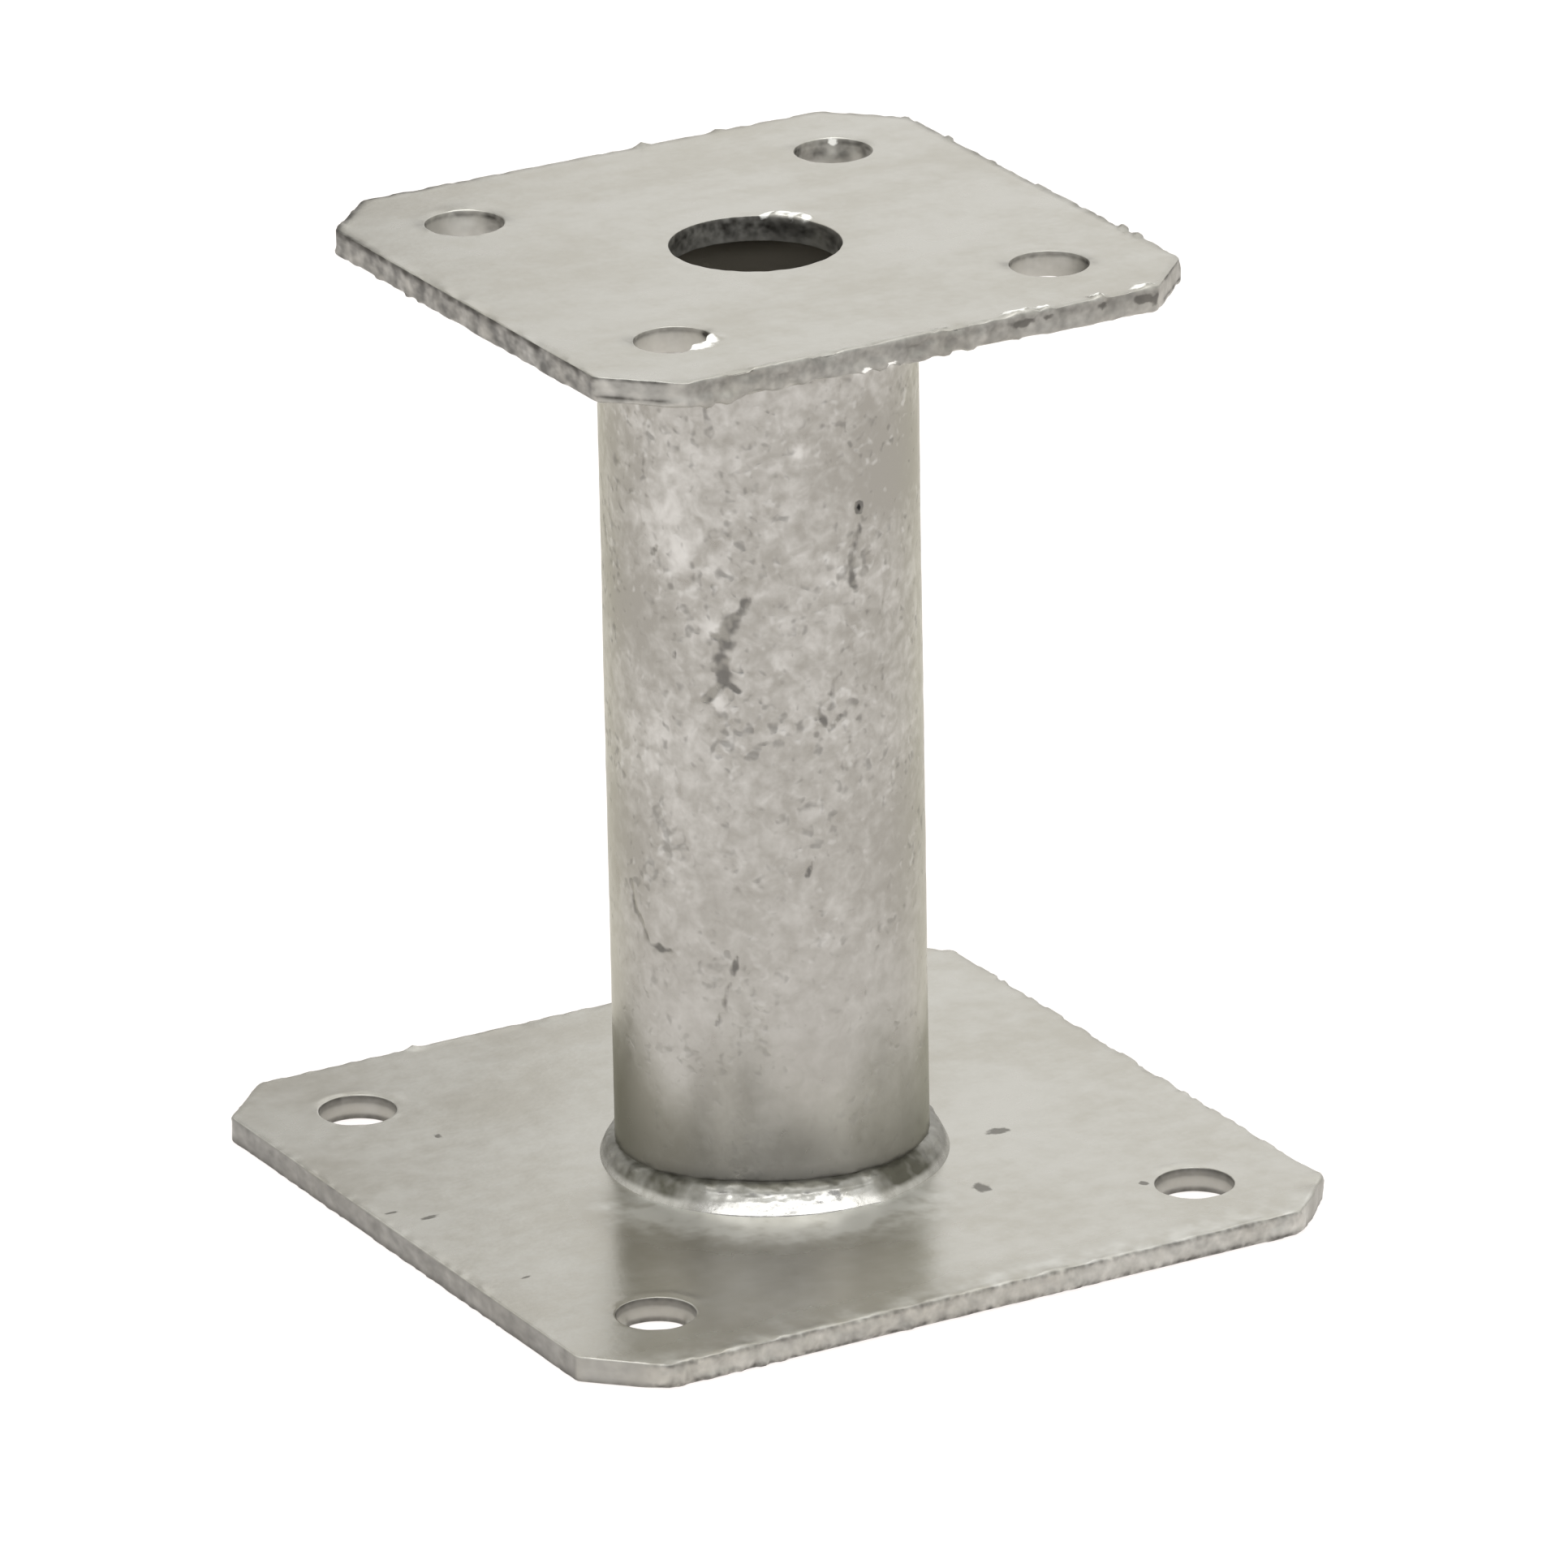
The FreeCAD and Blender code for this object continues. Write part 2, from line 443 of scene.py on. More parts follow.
def plateSurface(plate, low, high, half):
    # the flat faces as one grid with gaps, a collar round each hole and a rim round the outline
    reach = plate["holeReach"]
    breaks = [-reach - plate["cell"], -reach + plate["cell"], -plate["centreCell"]]
    breaks += [-value for value in breaks[::-1]]
    counts = plate["divisions"] + plate["divisions"][-2::-1]
    spans = [np.linspace(start, end, count + 1)[:-1]
             for start, end, count in zip(breaks, breaks[1:], counts)]
    lines = np.concatenate(spans + [breaks[-1:]])
    grid = np.stack(np.meshgrid(lines, lines, indexing="ij"), axis=2).reshape(-1, 2)
    quads = gridQuads(len(lines), len(lines))
    middles = grid[quads].mean(axis=1)
    atHole = (np.abs(np.abs(middles) - reach) < plate["cell"]).all(axis=1)
    atCentre = (np.abs(middles) < plate["centreCell"]).all(axis=1)
    quads = quads[~(atHole | atCentre)]
    patches = []
    for height, turned in ((high, quads), (low, quads[:, ::-1])):
        patches.append((np.column_stack([grid, np.full(len(grid), height)]), turned))

    border = squareLoop(lines, lines)
    angle = np.arctan2(border[:, 1], border[:, 0])
    outward = np.stack([np.cos(angle), np.sin(angle)], axis=1)
    rim = outward * outlineReach(angle, half, plate["cornerCut"])[:, None]
    rolled = smoothStep(-rim[:, 1], half - 3.0, half - 0.3)
    upper, lower = (between(plate[name], rolled) for name in ("rimUpper", "rimLower"))
    patches.append(edgePatch(border, rim, -outward, (low, high), upper, lower, 9))

    starts = np.cumsum([0] + counts)
    near = [lines[starts[span]:starts[span + 1] + 1] for span in (0, 2, 4)]  # left, middle and right
    spots = [(x, y, plate["holeRadius"]) for x in (-reach, reach) for y in (-reach, reach)]
    for x, y, radius in spots + [(0.0, 0.0, plate["centreRadius"])]:
        border = squareLoop(near[int(np.sign(x)) + 1], near[int(np.sign(y)) + 1])[::-1]
        away = border - (x, y)
        away /= np.linalg.norm(away, axis=1, keepdims=True)
        upper, lower = (np.full(len(border), plate[name]) for name in ("holeUpper", "holeLower"))
        patches.append(edgePatch(border, away * radius + (x, y), away, (low, high), upper, lower, 10))
    return joinPatches(patches)


# Plates: what the zinc does to them

zincRelief = {
    "sideStart": 3.5,  # the near and the far side's rough zinc begins this far from the edge
    "sideFull": 0.4,
    "lumpCut": 0.55,  # lumps are as high as they get where their noise is past this
    "lumpPatches": 13.0,  # width of the stretches of rim with high or low lumps
    "waveSize": 10.0,
    "fineWaveSize": 2.4,
    "fineWaveShare": 0.40,
    "lipWidth": 1.2,  # the uneven lip of each hole
    "lipSize": 1.6,
    "lipHeight": 0.07,
    "ringDistance": 1.5,  # the ring of zinc that drained to one side of each hole
    "ringWidth": 0.8,
    "ringSize": 3.5,
    "apronStart": 29.0,  # the rough zinc in front of the tube, with painted light on it, from the axis
    "apronEnd": 47.0,
    "apronSize": 3.4,
    "apronHeight": 0.05,
    "nearStrip": 0.42,  # the same rough zinc and painted light, thinner, along the near edge
    "nearStripStart": 10.0,
    "nearStripFull": 3.0,
    # how dark the painted shade spots in the holes and on the walls are
    "shadeSpotStrength": 0.7,
    "farEdgeShadeFull": 0.3,  # painted shade on the far edges that turn away from the light, from the rim
    "farEdgeShadeEnd": 1.5,
}


def plateZones(points, normals, plate, half):
    # distances from the rim and from the nearest hole, and marks from 0 to 1 for each kind of place
    angle = np.arctan2(points[:, 1], points[:, 0])
    axisDistance = fromAxis(points)
    rimDistance = outlineReach(angle, half, plate["cornerCut"]) - axisDistance
    fold = np.abs(points[:, :2])
    holeDistance = np.minimum(fromAxis(fold - plate["holeReach"]) - plate["holeRadius"],
                              fromAxis(fold) - plate["centreRadius"])
    fromHole = points[:, :2] - np.sign(points[:, :2]) * plate["holeReach"]
    sideStart, sideFull = half - zincRelief["sideStart"], half - zincRelief["sideFull"]
    return SimpleNamespace(
        angle=angle,
        axisDistance=axisDistance,
        rimDistance=rimDistance,
        holeDistance=holeDistance,
        fromHole=fromHole,
        holeReach=np.maximum(np.linalg.norm(fromHole, axis=1), 0.1),
        nearRim=1.0 - smoothStep(rimDistance, 0.0, plate["lumpReach"]),
        nearHole=1.0 - smoothStep(holeDistance, 0.0, zincRelief["lipWidth"]),
        nearSide=smoothStep(-points[:, 1], sideStart, sideFull),
        farSide=smoothStep(points[:, 0], sideStart, sideFull),
        cutCorner=smoothStep(2.0 * np.abs(normals[:, 0] * normals[:, 1]), 0.3, 0.8),
        faceUp=normals[:, 2] > 0.5,
    )


def plateRise(points, normals, plate, zone, apronAndPaintedLight, seed):
    # height of the zinc: waves, lumps along the rim, rings beside the holes, their lips, and drops
    lumpSize = plate["lumpSize"]
    lumps = softNoise(points, lumpSize, seed) + 0.5 * softNoise(points, lumpSize / 2.2, seed + 1)
    lumps = 2.0 * smoothStep(lumps, -zincRelief["lumpCut"], zincRelief["lumpCut"]) - 1.0
    lumps *= 0.8 + 0.7 * softNoise(points, zincRelief["lumpPatches"], seed + 7)
    waves = softNoise(points, zincRelief["waveSize"], seed + 2)
    fineWaves = softNoise(points, zincRelief["fineWaveSize"], seed + 3)
    rise = plate["waveHeight"] * (waves + zincRelief["fineWaveShare"] * fineWaves)
    neatHeight = plate["neatHeight"] * (1.0 + 1.2 * zone.farSide)
    rise += zone.nearRim * between((neatHeight, plate["lumpHeight"]), zone.nearSide) * lumps
    drained = (zone.fromHole @ plate["ringSide"]) / zone.holeReach
    ring = bell(zone.holeDistance - zincRelief["ringDistance"], zincRelief["ringWidth"])
    ring *= smoothStep(normals[:, 2], 0.7, 0.95)
    ring *= smoothStep(drained, 0.2, 0.9)
    rise += plate["ringHeight"] * ring * (1.0 + softNoise(points, zincRelief["ringSize"], seed + 5))
    rise += zincRelief["lipHeight"] * zone.nearHole * softNoise(points, zincRelief["lipSize"], seed + 4)
    rise += zincRelief["apronHeight"] * apronAndPaintedLight * softNoise(points, zincRelief["apronSize"], seed + 6)
    return rise + addDrops(points, plate["drops"])


def plateShade(points, normals, plate, zone, top):
    # painted shade: dark lines along the walls, dark spots on them, and the far edges that turn away
    # from the light
    inRim = np.array(zone.nearRim > 0.5, float)
    inHole = (1.0 - inRim) * (zone.axisDistance > plate["centreRadius"] + 3.0)
    walls = {
        "plain": inRim * (1.0 - zone.nearSide) * (1.0 - zone.cutCorner),
        "near": inRim * zone.nearSide,
        "cut": inRim * (1.0 - zone.nearSide) * zone.cutCorner,
        "hole": inHole,
        "centre": (1.0 - inRim) * (1.0 - inHole) * zone.nearHole,
    }
    notUp = smoothStep(-normals[:, 2], -0.97, -0.60)
    shade = np.zeros(len(points))
    for side, depth, reach, strength in plate["bands"]:
        shade += walls[side] * strength * bell(top - depth - points[:, 2], reach) * notUp
    shade += zincRelief["shadeSpotStrength"] * patchMark(points, plate["shadeSpots"])
    # painted shade along the far edges
    farEdgeShade = np.interp(np.degrees(zone.angle), *zip(*plate["farShade"]), period=360.0)
    edgeEnd = smoothStep(zone.rimDistance, zincRelief["farEdgeShadeFull"], zincRelief["farEdgeShadeEnd"])
    shade += farEdgeShade * (1.0 - edgeEnd) * (normals[:, 2] > 0.3)
    return np.minimum(shade, 1.0)


def platePiece(name, node, plate, seed):
    # the plate's surface, raised along its normals by the zinc, with the marks that its finish reads
    low, high = boxOf(node)
    half = high[0]
    points, quads = plateSurface(plate, low[2], high[2], half)
    normals = pointNormals(points, quads)
    zone = plateZones(points, normals, plate, half)
    # the apron is rough zinc in front of the tube, and the finish also lightens it as a painted
    # reflection
    front = smoothStep(-(points[:, :2] @ plate["ringSide"]) / zone.axisDistance, 0.35, 0.9)
    fading = 1.0 - smoothStep(zone.axisDistance, zincRelief["apronStart"], zincRelief["apronEnd"])
    apronAndPaintedLight = plate["apronAndPaintedLight"] * front * fading * zone.faceUp
    nearStrip = smoothStep(-points[:, 1], half - zincRelief["nearStripStart"],
                           half - zincRelief["nearStripFull"])
    nearStrip = nearStrip * (plate["apronAndPaintedLight"] > 0.0) * zone.faceUp

    rise = plateRise(points, normals, plate, zone, apronAndPaintedLight, seed)
    onGround = smoothStep(-normals[:, 2], 0.6, 0.95) * (low[2] < 0.001)
    rise *= 1.0 - onGround  # the lower plate's own underside stands flat on the ground
    webs = addDrops(points, plate["webs"])
    points = points + normals * rise[:, None]
    points[:, :2] -= zone.fromHole / zone.holeReach[:, None] * webs[:, None]
    points[:, 2] = np.maximum(points[:, 2], 0.0)

    apronAndPaintedLight = np.maximum(apronAndPaintedLight, zincRelief["nearStrip"] * nearStrip)
    wall = smoothStep(-np.abs(normals[:, 2]), -0.97, -0.35 - 0.35 * zone.nearSide)
    sheared = wall * np.maximum(zone.nearRim * (1.0 - 0.45 * zone.cutCorner), 0.2 * zone.nearHole)
    coarse = zone.nearRim * np.maximum(zone.nearSide, zone.cutCorner) + 1.5 * zone.nearHole * wall
    marks = {
        "cutEdge": sheared * between((1.0, plate["nearTone"]), zone.nearSide),
        "uneven": between(plate["uneven"], zone.nearSide),
        "coarse": coarse + apronAndPaintedLight,
        "shade": plateShade(points, normals, plate, zone, high[2]),
        "apronAndPaintedLight": apronAndPaintedLight,
        "specksAndShade": patchMark(points, plate["specksAndShade"]),
        # painted highlights: white glints on lumps and hole rims
        "paintedGlint": patchMark(points, plate["paintedGlint"]),
    }
    addPiece(name, node, plateZinc, points, quads, marks)


# Plates: their finish

plateLook = {
    "light": tinted(0.625, 1.015, 0.94),
    "dark": tinted(0.520, 1.035, 0.90),
    "edge": tinted(0.16, 1.02, 0.94),
    "shade": tinted(0.07, 1.06, 0.88),
    "speckAndShade": tinted(0.10, 1.08, 0.86),
    # white of the painted highlights, also used for the painted light in front of the tube
    "paintedGlint": tinted(0.95, 1.0, 0.97),
    "roughness": 0.245,
    "edgeRoughness": 0.30,  # what each of these adds to the roughness
    "coarseRoughness": 0.22,
    "paintedGlintRoughness": 0.3,
    "paintedGlintDullness": 0.7,  # how much of the metal's shine the painted glints take
    "cloudSize": 26.0,
    "cloudSwing": 1.2,
    "streakSize": 8.0,
    "streakSwing": 0.6,
    "streakStretch": (0.35, 1.0, 1.0),
    "patchSize": 4.0,
    "grainSize": 0.8,
    "grainSwing": 0.25,
    "speckSize": 1.2,
    "speckAndShadeStrength": 0.8,
    "edgeSize": 1.2,
    "edgeLumpSize": 2.8,
    "dimpleSize": 2.2,
    "depth": 0.022,
}


def makePlateZinc():
    # bright rolled zinc: wide clouds, faint streaks along X, fine grain and a few dark specks, with
    # painted shade, painted highlights and painted light in front of the tube
    look = plateLook
    material, shader = newMaterial("plateZinc", {"Metallic": 1.0})
    place = placeOn(material)
    clouds = place.noise(look["cloudSize"], 3.0)
    streaks = place.stretch(look["streakStretch"]).noise(look["streakSize"])
    patches = place.noise(look["patchSize"])
    grain = place.noise(look["grainSize"])
    apronAndPaintedLight = place.mark("apronAndPaintedLight")
    tone = 0.5 + clouds.swing(look["cloudSwing"]) + streaks.swing(look["streakSwing"])
    tone = tone + grain.swing(look["grainSwing"])
    # painted reflection: the zinc in front of the tube is more mottled
    tone = tone + (0.7 + 1.2 * apronAndPaintedLight) * (patches - 0.5)
    colour = tone.step(0.1, 0.9).blend(look["dark"], look["light"])
    # dark specks, with painted shade under the lumps of the top plate's near edge
    specksAndShade = (place.mark("specksAndShade") + place.noise(look["speckSize"]).swing(0.7)).step(0.45, 0.75)
    colour = (look["speckAndShadeStrength"] * specksAndShade).blend(colour, look["speckAndShade"])
    edgeNoise = place.stretch((1.0, 0.5, 1.0)).noise(look["edgeSize"], 1.5)
    edgeLumps = place.noise(look["edgeLumpSize"], 1.0)
    uneven = place.mark("uneven")
    sheared = place.mark("cutEdge") * (0.76 + uneven * (edgeNoise.swing(0.6) + edgeLumps.swing(0.8)))
    colour = sheared.blend(colour, look["edge"])
    broken = 0.9 + uneven * (edgeNoise.swing(1.2) + edgeLumps.swing(0.8))
    # painted shade: dark lines along the walls and in the holes, dark spots, and the far edges
    colour = (place.mark("shade") * broken).blend(colour, look["shade"])
    # painted highlights: white, matt glints on lumps and hole rims
    paintedGlint = (place.mark("paintedGlint") + grain.swing(0.5)).step(0.30, 0.60)
    # painted reflection: the zinc in front of the tube is lightened towards white
    apronPaintedLight = (apronAndPaintedLight * (1.0 + patches.swing(1.6)) - 0.30).step(0.0, 0.6)
    colour = (0.75 * apronPaintedLight + paintedGlint).blend(colour, look["paintedGlint"])
    roughness = look["roughness"] + clouds.swing(0.12) + patches.swing(0.08)
    roughness = roughness + look["edgeRoughness"] * sheared
    roughness = roughness + look["coarseRoughness"] * place.mark("coarse")
    roughness = roughness + look["paintedGlintRoughness"] * paintedGlint
    height = 0.5 * grain + 0.5 * place.noise(look["dimpleSize"])
    feed(shader, colour, roughness, height, look["depth"])
    metallic = 1.0 - look["paintedGlintDullness"] * paintedGlint
    place.tree.links.new(metallic.socket, shader.inputs["Metallic"])
    return material


plateZinc = makePlateZinc()

# Each plate's bands are painted shade, dark lines along its walls: which walls, depth under the upper
# face, reach and strength. Drops and webs are (x, y, z, radius, height); specks, shade spots (painted
# shade) and painted glints (painted highlights) are (x, y, z, length along X, width).
basePlate = {
    "holeReach": mounts["base_bolts"]["spacing_x_mm"] / 2.0,
    "holeRadius": mounts["base_bolts"]["hole_r_mm"],
    "centreRadius": mounts["base_centre_hole"]["r_mm"],
    "cornerCut": 10.0,
    "cell": 11.0,  # half the side of the grid's gap at a bolt hole
    "centreCell": 18.0,
    "divisions": [30, 24, 48],  # cells across a bolt hole's gap, up to the middle one, and across it
    "rimUpper": (0.35, 0.50),  # radius on most sides and on the near side
    "rimLower": (0.25, 0.90),
    "holeUpper": 0.28,
    "holeLower": 0.25,
    "ringHeight": 0.10,
    "ringSide": (0.49, 0.87),  # where the zinc drained to: away from the camera
    "bands": [
        ("plain", 3.9, 0.7, 0.75),
        ("cut", 3.9, 0.6, 0.5),
        ("near", 0.25, 0.45, 0.40),
        ("near", 3.6, 0.6, 0.60),
        ("hole", 0.15, 0.3, 0.75),
        ("hole", 0.9, 0.5, 0.6),
        ("hole", 3.6, 0.45, 0.95),
    ],
    "farShade": [(30, 0.15), (150, 0.15), (180, 0.0), (270, 0.0)],  # degrees round the axis, strength
    "apronAndPaintedLight": 1.0,
    "nearTone": 0.36,  # how much of the sheared walls' dark tone the near wall keeps
    "uneven": (0.45, 2.0),  # how mottled the walls are on most sides and on the near side
    "waveHeight": 0.030,
    "lumpReach": 2.4,
    "lumpSize": 1.7,
    "lumpHeight": 0.28,
    "neatHeight": 0.08,  # of the lumps on all sides but the near one
    "drops": [
        (60.0, -60.0, 2.5, 2.5, 0.5),
        (64.0, -55.0, 3.5, 2.0, 0.4),
        (-27.8, 65.0, 4.0, 0.9, 0.5),
        (-41.0, -46.4, 0.3, 0.9, 0.9),
        (-49.5, -41.6, 0.3, 0.9, 0.9),
    ],
    "webs": [],
    "specksAndShade": [
        (32.2, -13.3, 4.0, 2.6, 1.7),
        (18.7, -31.3, 4.0, 1.8, 2.4),
        (40.4, -43.0, 4.0, 0.9, 1.2),
        (-41.5, 31.0, 4.0, 0.7, 1.6),
        (-58.0, 3.4, 4.0, 2.6, 0.6),
        (-62.0, 8.0, 4.0, 1.6, 0.6),
        (-57.0, -24.5, 4.0, 1.5, 0.5),
    ],
    # painted shade on the near corner's wall
    "shadeSpots": [(-52.4, -44.6, 2.6, 0.8, 1.5)],
    "paintedGlint": [],
}

topPlate = {
    "holeReach": mounts["top_bolts"]["spacing_x_mm"] / 2.0,
    "holeRadius": mounts["top_bolts"]["hole_r_mm"],
    "centreRadius": mounts["top_centre_hole"]["r_mm"],
    "cornerCut": 10.0,
    "cell": 11.0,
    "centreCell": 17.0,
    "divisions": [30, 5, 46],
    "rimUpper": (0.25, 0.20),
    "rimLower": (0.60, 1.20),
    "holeUpper": 0.15,
    "holeLower": 0.10,
    "ringHeight": 0.03,
    "ringSide": (0.49, 0.87),
    "bands": [
        ("plain", 0.35, 0.50, 1.0),
        ("plain", 3.9, 0.3, 0.6),
        ("near", 0.9, 1.1, 0.28),
        ("cut", 0.2, 0.30, 0.60),
        ("cut", 3.0, 0.30, 0.80),
        ("hole", 0.45, 0.45, 0.60),
        ("centre", 1.5, 3.0, 0.85),
    ],
    "farShade": [(-45, 0.1), (-20, 0.5), (30, 0.5), (60, 0.35), (110, 0.4),
                 (125, 0.9), (145, 0.9), (155, 0.0), (250, 0.0)],
    "apronAndPaintedLight": 0.0,
    "nearTone": 0.65,
    "uneven": (1.2, 1.0),
    "waveHeight": 0.020,
    "lumpReach": 2.2,
    "lumpSize": 2.0,
    "lumpHeight": 0.30,
    "neatHeight": 0.09,
    # the specks under the near edge's lumps are painted shade
    "specksAndShade": [
        (16.5, -50.2, 148.9, 3.0, 1.0),
        (21.0, -50.2, 148.9, 1.0, 0.9),
        (30.4, -50.2, 148.9, 1.1, 1.1),
        (37.5, -50.2, 148.8, 2.8, 1.0),
        (39.4, -50.0, 148.4, 1.1, 1.4),
        (-36.0, -49.5, 146.6, 2.0, 0.6),
    ],
    # painted shade in the bolt holes
    "shadeSpots": [
        (28.2, 36.8, 148.6, 2.2, 1.2),
        (32.0, 37.9, 147.9, 4.5, 1.1),
        (36.2, 36.2, 147.9, 2.0, 1.3),
        (37.9, 32.8, 148.5, 1.0, 1.6),
        (-37.0, 34.0, 148.4, 1.7, 2.8),
        (-26.6, 32.0, 148.4, 1.8, 2.8),
        (-37.0, -29.5, 149.0, 1.6, 2.0),
        (-26.1, -31.0, 149.5, 0.9, 0.9),
        (26.8, -29.5, 148.6, 1.4, 2.2),
        (37.4, -33.0, 148.6, 1.4, 2.4),
    ],
    # painted highlights on the near edge's lumps and at the holes' rims
    "paintedGlint": [
        (-30.4, -36.4, 149.9, 2.6, 1.4),
        (-28.0, -34.8, 149.9, 1.6, 1.8),
        (35.0, 37.2, 149.5, 1.0, 0.7),
        (12.3, 6.0, 150.0, 1.0, 1.2),
        (11.4, 7.8, 150.0, 1.4, 1.2),
        (10.2, 9.3, 150.0, 1.6, 1.1),
        (8.4, 10.7, 150.0, 1.6, 0.8),
        (16.5, -48.7, 150.2, 2.6, 1.2),
        (21.0, -48.8, 150.2, 1.1, 1.0),
        (30.2, -48.8, 150.2, 1.2, 1.1),
        (38.0, -48.5, 150.2, 2.2, 1.1),
        (-10.0, -50.0, 146.4, 1.0, 0.5),
        (-6.0, -50.0, 146.6, 1.4, 0.5),
    ],
    "drops": [
        (-36.4, -49.6, 146.0, 1.0, 0.7),
        (-33.1, -50.0, 146.0, 1.3, 0.8),
        (-10.2, -49.8, 146.2, 0.9, 0.7),
        (-6.9, -49.8, 146.2, 1.0, 0.8),
        (-4.2, -49.8, 146.2, 0.8, 0.6),
        (-26.6, -34.4, 149.8, 1.0, 0.8),
        (-29.1, 37.2, 146.3, 3.0, 0.8),
        (34.9, 37.2, 146.3, 3.0, 0.8),
        (11.6, 6.9, 149.9, 1.7, 0.6),
        (9.4, 9.4, 149.9, 1.8, 0.6),
        (15.6, -49.3, 150.0, 1.2, 0.7),
        (17.8, -49.3, 150.0, 1.1, 0.7),
        (21.0, -49.4, 150.0, 0.8, 0.7),
        (30.2, -49.4, 150.0, 0.9, 0.8),
        (38.5, -49.2, 149.8, 1.1, 0.8),
        (-50.0, 26.5, 146.0, 0.8, 0.4),
        (-50.0, 17.2, 146.0, 0.8, 0.45),
        (-50.0, 13.7, 146.0, 0.7, 0.35),
        (8.6, 50.0, 150.0, 0.9, 0.6),
        (21.8, 50.0, 150.0, 1.2, 0.4),
        (50.0, 27.4, 150.0, 0.9, 0.6),
        (50.0, -23.8, 150.0, 0.9, 0.5),
        (50.0, -28.1, 150.0, 0.9, 0.4),
    ],
    "webs": [(-29.4, -37.4, 150.0, 3.2, 2.6)],  # the skin of zinc across part of the front bolt hole
}

platePiece("basePlateZinc", "base_plate", basePlate, 11)
platePiece("topPlateZinc", "top_plate", topPlate, 31)


# Tube

# Veins are (width, strength, line of places), pitting is (degrees, height, reach) and painted light and
# tone (painted highlights, painted shade on the sides, and tone) is (degrees, height, reach, strength).
# A place is (degrees, height): round the tube and over the ground.
tube = {
    "wall": 3.2,
    "columns": 300,
    "outerRows": 200,
    "innerRows": 40,
    "waveSize": 7.0,
    "waveHeight": 0.05,
    "pitSize": 2.6,
    "pitHeight": 0.035,
    "veinDepth": 0.12,
    "smoothFoot": 12.0,  # the relief is faint up to here over the foot, and full from there on
    "roughFrom": 45.0,
    "footShadeFrom": 2.0,  # the foot's painted shade is full up to here, and has faded out from there on
    "footShadeTo": 17.0,
    "endReach": 1.5,  # the relief fades out towards both ends, so that they meet the plates
    "calm": [(16.0, 1.0), (32.0, 0.70), (50.0, 0.40), (80.0, 0.05)],  # height over the foot, calmness
    "veins": [
        (0.60, 0.9, [(236, 102), (231, 99)]),
        (1.00, 0.9, [(231, 99), (227, 96.5), (225.5, 92.5), (227, 89.3)]),
        (0.55, 0.8, [(226, 96), (222.5, 95.9)]),
        (0.60, 1.0, [(226.5, 89.3), (223.5, 87.6), (220.0, 86.0)]),
        (0.50, 0.8, [(226.5, 89.3), (231, 87.5)]),
        (0.40, 1.9, [(278.2, 114.9), (278.0, 114.3)]),
        (0.60, 0.7, [(278, 111.6), (275, 107)]),
        (0.65, 0.85, [(275, 107), (274.6, 102.8)]),
        (0.45, 0.7, [(266.6, 88.5), (265.5, 86)]),
        (0.50, 0.8, [(268.4, 82.1), (264, 80.5), (260, 83.6)]),
        (0.40, 0.9, [(182, 53), (184, 49), (188, 47.5)]),
        (0.45, 0.8, [(188, 47.5), (192, 44.2), (203, 44)]),
        (0.45, 0.8, [(229, 44.8), (227.5, 42)]),
        (0.40, 0.6, [(227.5, 42), (224, 37), (225, 35.5)]),
        (0.45, 0.7, [(222.5, 35.2), (221, 33.6)]),
        (0.32, 0.7, [(258, 60.5), (255, 57.5)]),
        (0.40, 0.8, [(200.6, 108.7), (198.5, 107.5)]),
        (0.40, 0.7, [(207.9, 92.9), (207, 91.6)]),
    ],
    "pitting": [
        (262, 80, 7), (229, 78, 6), (212, 102, 6), (197, 62, 7), (270, 70, 5),
        (188, 48, 6), (226, 46, 6), (272, 106, 6), (238, 34, 4),
    ],
    # painted highlights (positive) and painted shade on the tube's sides (negative), with some tone
    "paintedLightAndTone": [
        (208, 122, 6, 0.8),
        (205, 114, 5, 1.0),
        (211, 108.5, 2, 1.5),
        (223, 97, 1.4, 1.6),
        (224, 85.7, 1.2, 1.6),
        (254, 125, 1.1, 1.8),
        (278, 136.4, 1.0, 1.8),
        (284, 136.8, 1.2, 1.8),
        (296, 135.5, 1.0, 1.8),
        (212, 33, 7, 0.4),
        (204, 23, 5, 0.8),
        (172, 14, 9, -0.9),
        (300, 120, 12, -1.2),
        (281, 122, 9, -0.35),
        (292, 90, 9, -0.5),
        (303, 60, 12, -0.8),
        (277, 42, 10, -0.2),
        (178, 100, 8, -0.9),
        (189, 120, 10, -0.7),
        (191, 94, 10, -0.7),
        (180, 60, 9, -0.9),
        (200, 42, 9, -0.25),
        (219, 24, 7, -0.5),
        (192, 18, 8, -0.5),
    ],
}

tubeLook = {
    "light": tinted(0.620, 1.01, 0.96),
    "dark": tinted(0.315, 1.035, 0.91),
    "pit": tinted(0.13, 1.03, 0.93),
    "vein": tinted(0.27, 1.03, 0.90),
    "hollow": tinted(0.02, 1.0, 0.95),
    "fleck": tinted(0.66, 1.0, 0.97),
    # painted shade at the tube's foot
    "foot": tinted(0.17, 1.03, 0.92),
    "hidden": tinted(0.36, 1.08, 0.84),
    "tint": tinted(0.80, 1.0, 0.90),
    "roughness": 0.30,
    "cloudSize": 15.0,
    "cloudSwing": 0.5,
    "patchSize": 3.0,
    "patchSwing": 1.3,
    "grainSize": 1.2,
    "grainSwing": 0.5,
    "paintedLightAndToneStrength": 0.45,
    "clusterSize": 11.0,
    "pitSize": 1.7,
    "pitStrength": 0.50,
    "fleckSize": 1.9,
    "fleckStrength": 0.45,
    "veinSize": 2.0,
    "veinToneSize": 2.2,
    "veinStrength": 0.9,
    "footShadeStrength": 0.70,
    "depth": 0.10,
}
